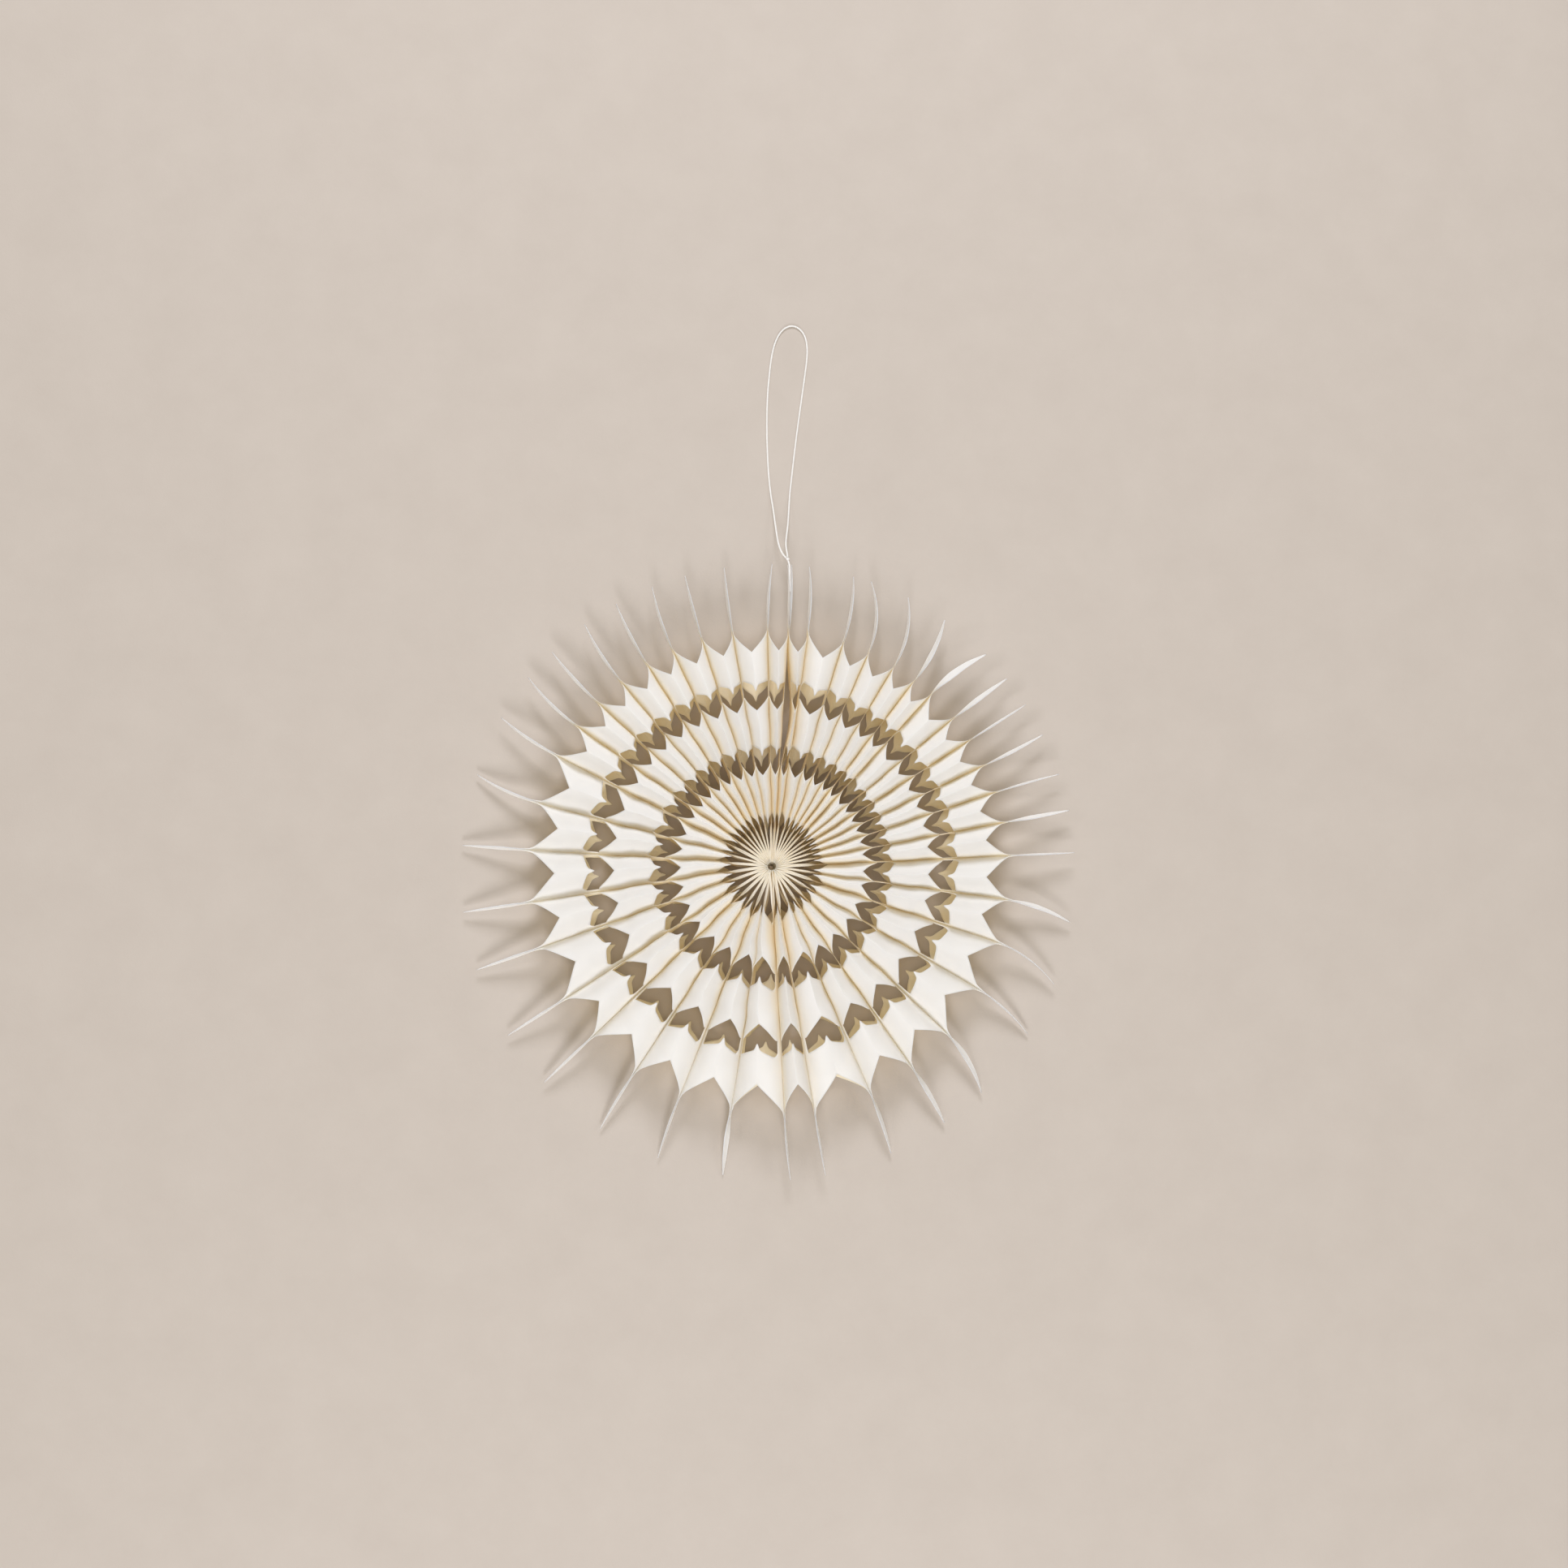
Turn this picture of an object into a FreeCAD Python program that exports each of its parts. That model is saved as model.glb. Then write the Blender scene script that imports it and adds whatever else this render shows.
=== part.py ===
"""Hanging paper star: flat paper bags glued side by side and fanned into a full circle. Millimetres.

The star lies flat on a surface. +Z is up, and the fan's join, with its string, points along +Y.
Angles run clockwise from the join, seen from above.
"""
import FreeCAD
import Part
import math
import os

os.makedirs("parts", exist_ok=True)

# ---- paper bags: sizes across a flat bag ----
PAPER = 0.15                 # thickness of one layer of paper
BAG_HALF_WIDTH = 21.5        # from the glued middle line to the fold at the side
GLUE_HALF_WIDTH = 3.0        # half of the glued strip along the middle line
CORE_HALF_WIDTH = 8.0        # half of the strip at the closed end, which packs into the hub

# ---- paper bags: lengths along a bag, from the hub outwards ----
LEAD_IN = 12.0               # the strips fan out from the hub up to this distance from the centre
CORE_LENGTH = 35.0           # bare strip from the centre of the star to the inner band
INNER_BAND_LENGTH = 36.0     # three bands of paper reach from the strip to the side folds
SMALL_HEART_SIDE = 5.0       # between the bands the hearts' sides leave the strip bare
MIDDLE_BAND_LENGTH = 38.6
BIG_HEART_SIDE = 5.4
RIM_BAND_LENGTH = 38.3
SPIKE_BASE_LENGTH = 16.7     # lower part of the spike that stands out past the rim
SPIKE_POINT_LENGTH = 28.0

# ---- paper bags: shapes of the cuts ----
CORE_NOTCH_DEPTH = 12.6      # from a band's inner end, measured at the strip, in to its corner at the fold
SMALL_HEART_NOTCH_DEPTH = 7.9
BIG_HEART_NOTCH_DEPTH = 8.4
CORE_LOBE_RISE = 0.4         # from the same place out to the lobe's top
SMALL_HEART_LOBE_RISE = 2.6
BIG_HEART_LOBE_RISE = 1.8
INNER_POINT_DEPTH = 15.7     # from a band's outer end, measured at the strip, in to its corner at the fold
MIDDLE_POINT_DEPTH = 15.9
RIM_POINT_DEPTH = 20.0
RIM_BEND_DEPTH = 4.2
LOBE_SHARE = 0.35            # lobe tops, as a share of the way from the strip to the fold
RIM_SHARE = 0.28             # bend in the rim's edge, as a share of the same way
SPIKE_MIDDLE_HALF_WIDTH = 2.6
SPIKE_TIP_HALF_WIDTH = 0.4

# ---- the fan ----
HUB_HEIGHT = 41.0            # middle lines at the hub, above the surface
HUB_GAP = 0.12               # clearance between neighbouring layers at the hub
HUB_EVENNESS = 0.75          # 1 spaces the strips evenly at the hub, 0 in step with the openings
JOIN_HALF_GAP = 0.3          # half of the gap between the first and the last bag
OPENING_LIMIT = 0.95         # half of a bag's mouth at the rim, as a share of the paper beside it
BAG_OPENINGS = [             # degrees taken by each bag, scaled to a full circle
    4.5, 9.0, 6.5, 7.0, 6.0, 5.0, 8.0, 6.5, 7.0, 7.0, 7.5, 8.0, 10.5, 10.5, 12.0, 13.0, 11.5, 11.5,
    14.0, 7.0, 12.5, 12.5, 12.0, 13.0, 11.0, 13.5, 11.0, 12.5, 11.5, 12.0, 8.5, 7.5, 7.5, 7.5, 7.0,
    7.5, 7.5, 8.5, 5.0,
]
SPIKE_LEANS = [              # degrees by which each seam's spike bends aside, clockwise positive
    -0.4, -1.5, -2.0, -5.0, -4.5, -2.5, 2.5, 0.5, 0.0, -0.5, 0.5, 0.0, 0.0, 2.5, 4.0, 2.5, 3.5, 1.0,
    1.0, 0.0, -0.5, -0.5, -0.5, -0.5, 0.0, 0.0, 0.0, 0.0, 0.0, 2.0, 1.5, 2.0, 1.0, 1.5, 1.0, 1.5, 0.5,
    0.5, 1.0, -0.9,
]
SPIKE_TWIST = 15.0           # degrees by which a spike's upper edge turns aside
WIDE_TWIST = 45.0
WIDE_SPIKES = (6, 13, 16, 17, 18, 21)
BOW_DEPTH = 5.2              # the first bag's free side bows away from the join by this much
BOW_START = 50.0
BOW_END = 152.0

# ---- hanging string: places measured from the middle of the star, on the surface ----
STRING_DIAMETER = 1.2
KNOT_DIAMETER = 2.4
KNOT_PLACE = (-3.9, 203.4, 11.0)
LOOP_ROUTE = [               # centre line from one side of the knot round to the other
    (-4.9, 204.2, 10.8), (-7.0, 206.2, 10.0), (-9.3, 210.0, 8.8), (-11.0, 214.8, 7.4),
    (-12.2, 220.5, 5.8), (-13.8, 228.0, 4.0), (-15.6, 237.0, 2.3), (-18.1, 247.5, 1.0),
    (-20.3, 259.0, 0.65), (-22.4, 274.5, 0.65), (-24.3, 293.0, 0.65), (-25.4, 312.0, 0.65),
    (-25.3, 328.0, 0.65), (-24.7, 341.0, 0.65), (-22.9, 350.8, 0.65), (-19.2, 358.3, 0.65),
    (-13.4, 361.9, 0.65), (-7.6, 360.2, 0.65), (-3.5, 355.2, 0.65), (-1.6, 348.0, 0.65),
    (-1.2, 339.5, 0.65), (-1.8, 328.0, 0.65), (-2.6, 314.0, 0.65), (-3.6, 297.5, 0.65),
    (-4.5, 279.0, 0.65), (-5.1, 261.5, 0.65), (-5.5, 249.0, 1.0), (-5.4, 238.5, 2.3),
    (-5.2, 229.0, 4.0), (-5.6, 221.0, 5.8), (-5.9, 215.0, 7.4), (-5.2, 210.2, 8.8),
    (-4.2, 206.4, 10.0), (-4.0, 204.6, 10.6),
]
TAIL_ROUTE = [               # from between the two spikes at the join up to the knot
    (-0.9, 181.6, 14.2), (-1.35, 187.8, 13.3), (-1.85, 194.5, 12.3), (-2.3, 199.8, 11.6),
    (-3.5, 202.2, 11.2),
]

UP = FreeCAD.Vector(0, 0, 1)
TOP = 1
BOTTOM = -1

# Distances from the centre of the star, measured along a bag
INNER_START = CORE_LENGTH
INNER_END = INNER_START + INNER_BAND_LENGTH
MIDDLE_START = INNER_END + SMALL_HEART_SIDE
MIDDLE_END = MIDDLE_START + MIDDLE_BAND_LENGTH
RIM_START = MIDDLE_END + BIG_HEART_SIDE
RIM_END = RIM_START + RIM_BAND_LENGTH
RIM_NOTCH = RIM_END - RIM_POINT_DEPTH
SPIKE_MIDDLE = RIM_END + SPIKE_BASE_LENGTH
SPIKE_TIP = SPIKE_MIDDLE + SPIKE_POINT_LENGTH
STATIONS = (LEAD_IN, INNER_START, INNER_END, MIDDLE_START, MIDDLE_END, RIM_START, RIM_END,
            SPIKE_MIDDLE, SPIKE_TIP)

# Bands of paper between the strip and the fold, each as (share of the way to the fold, distance along
# the bag). Each starts at the lobe of the cut inside it, which every other corner can be seen from.
INNER_BAND = ((LOBE_SHARE, INNER_START + CORE_LOBE_RISE), (1, INNER_START - CORE_NOTCH_DEPTH),
              (1, INNER_END - INNER_POINT_DEPTH), (0, INNER_END), (0, INNER_START))
MIDDLE_BAND = ((LOBE_SHARE, MIDDLE_START + SMALL_HEART_LOBE_RISE),
               (1, MIDDLE_START - SMALL_HEART_NOTCH_DEPTH), (1, MIDDLE_END - MIDDLE_POINT_DEPTH),
               (0, MIDDLE_END), (0, MIDDLE_START))
RIM_BAND = ((LOBE_SHARE, RIM_START + BIG_HEART_LOBE_RISE), (1, RIM_START - BIG_HEART_NOTCH_DEPTH),
            (1, RIM_NOTCH), (RIM_SHARE, RIM_END - RIM_BEND_DEPTH), (0, RIM_END), (0, RIM_START))


def between(x, x0, x1, y0, y1):
    """Value at x on the line from (x0, y0) to (x1, y1)."""
    return y0 + (y1 - y0) * (x - x0) / (x1 - x0)


def strip_half_width(a):
    """Half of the strip left along the middle of a bag, at the distance a from the centre."""
    if a < INNER_START:
        return between(a, hub_radius, INNER_START, CORE_HALF_WIDTH, GLUE_HALF_WIDTH)
    if a <= RIM_END:
        return GLUE_HALF_WIDTH
    if a <= SPIKE_MIDDLE:
        return between(a, RIM_END, SPIKE_MIDDLE, GLUE_HALF_WIDTH, SPIKE_MIDDLE_HALF_WIDTH)
    return between(a, SPIKE_MIDDLE, SPIKE_TIP, SPIKE_MIDDLE_HALF_WIDTH, SPIKE_TIP_HALF_WIDTH)


class Seam:
    """The sheet in which two neighbouring bags are glued together, or a free side at the join."""

    def __init__(self, angle, hub_angle, drop, shift, bow, lean, twist):
        slope = math.asin(drop)
        level = FreeCAD.Vector(math.sin(angle), math.cos(angle), 0)
        self.along = level * math.cos(slope) - UP * math.sin(slope)
        self.up = level * math.sin(slope) + UP * math.cos(slope)
        self.across = self.along.cross(self.up)
        self.hub = FreeCAD.Vector(math.sin(hub_angle), math.cos(hub_angle), -drop) * hub_radius
        self.shift = shift
        self.bow = bow
        self.lean = lean
        self.twist = twist

    def sideways(self, a):
        """Distance by which the seam stands clockwise of its own straight line."""
        side = self.shift
        if BOW_START < a < BOW_END:
            side += self.bow * math.sin(math.pi * (a - BOW_START) / (BOW_END - BOW_START)) ** 2
        if a > RIM_END:
            side += a * math.tan(self.lean) * between(a, RIM_END, SPIKE_TIP, 0, 1) ** 2
        return side

    def point(self, a, side):
        """Point on the strip's top or bottom edge."""
        rise = self.up
        if a > RIM_END:
            rise = self.up * math.cos(self.twist) + self.across * math.sin(self.twist)
        foot = self.hub if a == hub_radius else self.along * a + self.across * self.sideways(a)
        return hub_centre + foot + rise * (side * strip_half_width(a))


def fold_point(first, last, a, side):
    """Point on a bag's top or bottom fold: the paper between strip and fold keeps its width."""
    start = first.point(a, side)
    end = last.point(a, side)
    half = (end - start).Length / 2
    along = (first.along + last.along).normalize()
    up = (first.up + last.up).normalize()
    rise = math.sqrt((BAG_HALF_WIDTH - GLUE_HALF_WIDTH) ** 2 - half ** 2)
    return (start + end) / 2 + along * (half * half / a) + up * (side * rise)


def strip_sheet(seam):
    """Triangles of the strip along a seam, as corner names that stand for points."""
    stations = (hub_radius,) + STATIONS
    triangles = []
    for near, far in zip(stations, stations[1:]):
        corners = [(seam, near, BOTTOM), (seam, near, TOP), (seam, far, TOP), (seam, far, BOTTOM)]
        triangles.append([corners[0], corners[1], corners[2]])
        triangles.append([corners[0], corners[2], corners[3]])
    return triangles


def wing_sheet(seam, side):
    """Triangles of the paper between one strip edge and the fold, in three bands."""
    triangles = []
    for band in (INNER_BAND, MIDDLE_BAND, RIM_BAND):
        names = []
        for share, a in band:
            if share == 0:
                names.append((seam, a, side))
            elif share == 1:
                names.append(("fold", a, side))
            else:
                names.append((seam, a, side, share))
        for second, third in zip(names[1:], names[2:]):
            triangles.append([names[0], second, third])
    return triangles


def corner_place(name, first, last):
    """Point that a corner name stands for."""
    if name[0] == "fold":
        return fold_point(first, last, name[1], name[2])
    seam = last if name[0] == "last" else first
    if len(name) == 3:
        return seam.point(name[1], name[2])
    a = min(name[1], RIM_NOTCH)
    ruling = fold_point(first, last, a, name[2]) - seam.point(a, name[2])
    return seam.point(name[1], name[2]) + ruling * name[3]


def turned(triangles):
    """The same triangles, facing the other way."""
    return [[c, b, a] for a, b, c in triangles]


def bag_sheets(first, last):
    """Outer faces of one bag as six sheets, with the place of every corner."""
    sheets = [strip_sheet("first"), turned(strip_sheet("last")),
              wing_sheet("first", TOP), turned(wing_sheet("last", TOP)),
              turned(wing_sheet("first", BOTTOM)), wing_sheet("last", BOTTOM)]
    names = sorted({name for sheet in sheets for triangle in sheet for name in triangle}, key=str)
    places = {name: corner_place(name, first, last) for name in names}
    return sheets, places


def sheet_normals(sheet, places):
    """Mean normal of a sheet at each of its corners."""
    sums = {}
    for a, b, c in sheet:
        normal = (places[b] - places[a]).cross(places[c] - places[a]).normalize()
        for name in (a, b, c):
            sums[name] = sums.get(name, FreeCAD.Vector()) + normal
    return {name: total.normalize() for name, total in sums.items()}


def inner_places(sheets, places):
    """Corners of the inner faces, one paper thickness inside each sheet that meets there."""
    meeting = {name: [] for name in places}
    for sheet in sheets:
        for name, normal in sheet_normals(sheet, places).items():
            meeting[name].append(normal)
    inner = {}
    for name, normals in meeting.items():
        if len(normals) == 1:
            step = normals[0]
        else:
            step = (normals[0] + normals[1]) / (1 + normals[0].dot(normals[1]))
        inner[name] = places[name] - step * PAPER
    return inner


def border_edges(triangles):
    """Edges that belong to one triangle only."""
    edges = {edge for a, b, c in triangles for edge in ((a, b), (b, c), (c, a))}
    return [edge for edge in edges if (edge[1], edge[0]) not in edges]


def paper_bag(first, last):
    """One opened bag as a thin closed solid."""
    sheets, outer = bag_sheets(first, last)
    inner = inner_places(sheets, outer)
    triangles = [triangle for sheet in sheets for triangle in sheet]
    faces = [[outer[name] for name in triangle] for triangle in triangles]
    faces += [[inner[name] for name in reversed(triangle)] for triangle in triangles]
    for start, end in border_edges(triangles):
        faces.append([outer[end], outer[start], inner[start]])
        faces.append([outer[end], inner[start], inner[end]])
    return solid_from(faces)


def solid_from(faces):
    """Solid with flat three-cornered faces, with flat neighbours joined into one face."""
    shell = Part.Shell([Part.Face(Part.makePolygon(corners + corners[:1])) for corners in faces])
    shell.sewShape()
    solid = Part.Solid(shell)
    if solid.Volume < 0:
        solid.reverse()
    return solid.removeSplitter()


def cord_tube(points, diameter):
    """Round cord along straight runs, with a tangent arc at every bend; returns it and its radii."""
    edges = []
    radii = []
    start = points[0]
    for before, corner, after in zip(points, points[1:], points[2:]):
        back = before - corner
        ahead = after - corner
        half_turn = (math.pi - back.getAngle(ahead)) / 2
        reach = 0.45 * min(back.Length, ahead.Length)
        radii.append(reach / math.tan(half_turn))
        enter = corner + back.normalize() * reach
        leave = corner + ahead.normalize() * reach
        middle = corner + (back + ahead).normalize() * (radii[-1] / math.cos(half_turn) - radii[-1])
        edges.append(Part.LineSegment(start, enter).toShape())
        edges.append(Part.Arc(enter, middle, leave).toShape())
        start = leave
    edges.append(Part.LineSegment(start, points[-1]).toShape())
    route = Part.Wire(edges)
    ring = Part.Wire(Part.makeCircle(diameter / 2, points[0], points[1] - points[0]))
    tube = route.makePipeShell([ring], True, False)
    return tube, radii, route.Length


def save(name, shape):
    """Write one piece to its own file."""
    shape.exportStep("parts/" + name + ".step")
    print(name, "valid", shape.isValid(), "volume", round(shape.Volume, 2))


def save_cord(name, route, diameter):
    """Make and write one length of string, and print its bends."""
    tube, radii, length = cord_tube([FreeCAD.Vector(*place) for place in route], diameter)
    save(name, tube)
    section = math.pi * diameter ** 2 / 4
    print(name, "length", round(length, 1), "volume over section times length",
          round(tube.Volume / (section * length), 4))
    print(name, "bend radii", [round(radius, 1) for radius in radii])


# ---- places of the seams ----
bag_count = len(BAG_OPENINGS)
layer_pitch = 2 * PAPER + HUB_GAP
hub_radius = (bag_count + 1) * layer_pitch / (2 * math.pi)
hub_centre = FreeCAD.Vector(0, 0, HUB_HEIGHT)

# A bag opens no wider than its paper lets it: a fan that would ask for more opens more evenly.
mean_opening = 2 * math.pi / bag_count
widest_opening = 2 * math.pi * max(BAG_OPENINGS) / sum(BAG_OPENINGS)
possible_opening = 2 * math.atan(OPENING_LIMIT * (BAG_HALF_WIDTH - GLUE_HALF_WIDTH) / RIM_NOTCH)
unevenness = min(1, (possible_opening - mean_opening) / (widest_opening - mean_opening))
openings = [mean_opening + unevenness * (2 * math.pi * opening / sum(BAG_OPENINGS) - mean_opening)
            for opening in BAG_OPENINGS]

rim_heights = []
for opening in openings:
    half_chord = RIM_NOTCH * math.tan(opening / 2)
    rise = math.sqrt((BAG_HALF_WIDTH - GLUE_HALF_WIDTH) ** 2 - half_chord ** 2)
    rim_heights.append(GLUE_HALF_WIDTH + rise)

seams = []
for index in range(bag_count + 1):
    angle = sum(openings[:index])
    even_angle = 2 * math.pi * (index + 0.5) / (bag_count + 1)
    hub_angle = angle + HUB_EVENNESS * (even_angle - angle)
    rim_height = max(rim_heights[max(index - 1, 0):index + 1])
    shift = {0: JOIN_HALF_GAP, bag_count: -JOIN_HALF_GAP}.get(index, 0)
    bow = BOW_DEPTH if index == 0 else 0
    twist = math.radians(WIDE_TWIST if index in WIDE_SPIKES else SPIKE_TWIST)
    if index in (0, bag_count):
        twist = 0
    lean = math.radians(SPIKE_LEANS[index])
    seams.append(Seam(angle, hub_angle, (HUB_HEIGHT - rim_height) / RIM_NOTCH, shift, bow, lean, twist))

# ---- pieces ----
bags = [paper_bag(first, last) for first, last in zip(seams, seams[1:])]
boxes = [bag.BoundBox for bag in bags]
middle = FreeCAD.Vector((min(box.XMin for box in boxes) + max(box.XMax for box in boxes)) / 2,
                        (min(box.YMin for box in boxes) + max(box.YMax for box in boxes)) / 2,
                        min(box.ZMin for box in boxes))
for number, bag in enumerate(bags, 1):
    bag.translate(-middle)
    save("paper_bag_%02d" % number, bag)
print("hub at", hub_centre - middle)

save("loop_knot", Part.makeSphere(KNOT_DIAMETER / 2, FreeCAD.Vector(*KNOT_PLACE)))
save_cord("hanging_loop", LOOP_ROUTE, STRING_DIAMETER)
save_cord("loop_tail", TAIL_ROUTE, STRING_DIAMETER)
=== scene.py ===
"""Looks of the hanging paper star: curved paper bags, twisted string, floor, lights and camera.

Sizes are in millimetres and angles in degrees unless a name or comment says otherwise. Blender's own
units are metres, so every mesh is scaled by MM when it is made. Angles in the fan run clockwise from
its join, seen from above.
"""
import math
from collections import namedtuple

import bpy
import numpy as np
from mathutils import Matrix, Vector


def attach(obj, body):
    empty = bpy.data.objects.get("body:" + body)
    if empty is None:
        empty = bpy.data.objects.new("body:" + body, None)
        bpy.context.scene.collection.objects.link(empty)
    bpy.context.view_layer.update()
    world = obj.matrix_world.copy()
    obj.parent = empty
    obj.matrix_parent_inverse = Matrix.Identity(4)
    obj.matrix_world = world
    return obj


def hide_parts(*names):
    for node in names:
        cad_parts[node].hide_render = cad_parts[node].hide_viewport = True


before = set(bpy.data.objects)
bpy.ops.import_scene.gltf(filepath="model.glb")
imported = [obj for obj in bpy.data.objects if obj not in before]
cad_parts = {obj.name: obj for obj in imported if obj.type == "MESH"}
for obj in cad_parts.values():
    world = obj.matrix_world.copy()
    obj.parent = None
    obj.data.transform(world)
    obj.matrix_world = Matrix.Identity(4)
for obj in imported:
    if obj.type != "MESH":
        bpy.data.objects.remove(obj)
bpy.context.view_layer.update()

MM = 0.001

# ---- camera: where it stands over the star, and how the star is turned in its view ----
AIM = (4.9, 54.6, 20.5)
CAMERA_DISTANCE = 2104.0
CAMERA_TILT_X = 3.1          # how far the camera stands to the left of straight above
CAMERA_TILT_Y = 5.5          # and how far below it in the view
VIEW_TURN = 4.5
SENSOR = 36.0
LENS = 74.5
FAR_CLIP = 20.0              # metres

# ---- the fan: as in the construction, apart from its hub, which is drawn together more tightly ----
HUB = np.array([0.11, -1.15, 41.5])
HUB_RADIUS = 1.6
HUB_HEIGHT = 41.0            # of the seams' middle lines, above the floor
HUB_EVENNESS = 0.75          # 1 spaces the seams evenly at the hub, 0 in step with the openings
LEAD_IN = 12.0               # the seams run straight from this distance on
JOIN_HALF_GAP = 0.3
BAG_OPENINGS = (             # degrees taken by each bag, scaled to a full circle
    4.5, 9.0, 6.5, 7.0, 6.0, 5.0, 8.0, 6.5, 7.0, 7.0, 7.5, 8.0, 10.5, 10.5, 12.0, 13.0, 11.5, 11.5,
    14.0, 7.0, 12.5, 12.5, 12.0, 13.0, 11.0, 13.5, 11.0, 12.5, 11.5, 12.0, 8.5, 7.5, 7.5, 7.5, 7.0,
    7.5, 7.5, 8.5, 5.0,
)
BAG_COUNT = len(BAG_OPENINGS)
BOW_DEPTH = 5.2              # the first seam bows aside between these two distances from the hub
BOW_START = 50.0
BOW_END = 152.0

# ---- spikes: each is the end of two glued strips, one from the bag on either side of a seam ----
SPIKE_LEANS = (              # degrees by which each seam's spike bends aside, clockwise positive
    -0.4, -1.5, -2.0, -5.0, -4.5, -2.5, 2.5, 0.5, 0.0, -0.5, 0.5, 0.0, 0.0, 2.5, 4.0, 2.5, 3.5, 1.0,
    1.0, 0.0, -0.5, -0.5, -0.5, -0.5, 0.0, 0.0, 0.0, 0.0, 0.0, 2.0, 1.5, 2.0, 1.0, 1.5, 1.0, 1.5, 0.5,
    0.5, 1.0, -0.9,
)
SPIKE_TWIST = 13.0           # how far a spike is turned about its length
WIDE_TWISTS = {              # by the number of the seam, for spikes that show more of their width
    5: 28.0, 6: 55.0, 7: 34.0, 9: 22.0, 11: 28.0, 13: 36.0, 16: 42.0, 17: 36.0, 18: 26.0, 21: 36.0,
}
TWIST_LENGTH = 25.0          # from the rim on, until the whole twist is reached
SPIKE_FOOT = 9.0             # from the rim on, while the paper goes from a bag's shape to a spike's
SPIKE_FLARE = 7.0            # angle by which each layer of a spike stands off from the other
SPIKE_TIP = 203.0

# ---- a flat bag, across: distances from its glued middle line ----
FULL_REACH = 21.5            # the side fold
GLUE_HALF_WIDTH = 3.0        # glued strip of the construction, which is wider than the real line of glue
GLUE_LINE = 1.0              # line along which two bags stick together
BRIDGE = 5.3                 # paper left between two hearts
CORE = 8.0                   # strip at the hub
REACH = FULL_REACH - GLUE_LINE
SOLID_PANEL = FULL_REACH - GLUE_HALF_WIDTH
PAPER = 0.13                 # thickness

# ---- a flat bag, along: distances from the hub ----
# A band is paper that reaches all the way to the side folds. Its inner edge leaves the bridge at start,
# goes over a lobe and falls to a notch at the fold. Its outer edge leaves the bridge at end, and meets
# the fold at point. The crease over it leans clockwise by a share of the bag's half-gap.
Band = namedtuple("Band", "start lobe notch end point lean")
INNER = Band(start=34.0, lobe=35.4, notch=22.4, end=70.0, point=55.3, lean=0.22)
MIDDLE = Band(start=76.5, lobe=78.6, notch=68.1, end=113.3, point=98.7, lean=0.12)
RIM = Band(start=119.5, lobe=121.8, notch=111.6, end=155.5, point=138.3, lean=0.04)
BANDS = (INNER, MIDDLE, RIM)
FINGER = 3.6                 # length of the narrow tongue of paper between a heart's two lobes
# Half-width of the strip of paper along the middle line where no band leaves it: (distance, half-width)
STRIP_OUTLINE = (
    (HUB_RADIUS, CORE), (30.0, 6.0), (INNER.start, BRIDGE), (RIM.end, BRIDGE), (158.0, 3.8),
    (164.0, 3.0), (178.0, 2.6), (192.0, 1.9), (SPIKE_TIP, 0.5),
)

rng = np.random.default_rng(7)


def smoothstep(t):
    """Smooth rise from 0 to 1."""
    t = np.clip(t, 0.0, 1.0)
    return t * t * (3 - 2 * t)


def outline_at(places, outline):
    """Values at the given places of an outline of straight lines, given as pairs (place, value)."""
    return np.interp(places, *zip(*outline))


def unit(vector):
    """Vector of length 1 in the same direction."""
    return vector / np.linalg.norm(vector)


# ---------------------------------------------------------------- the fan's geometry

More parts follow.
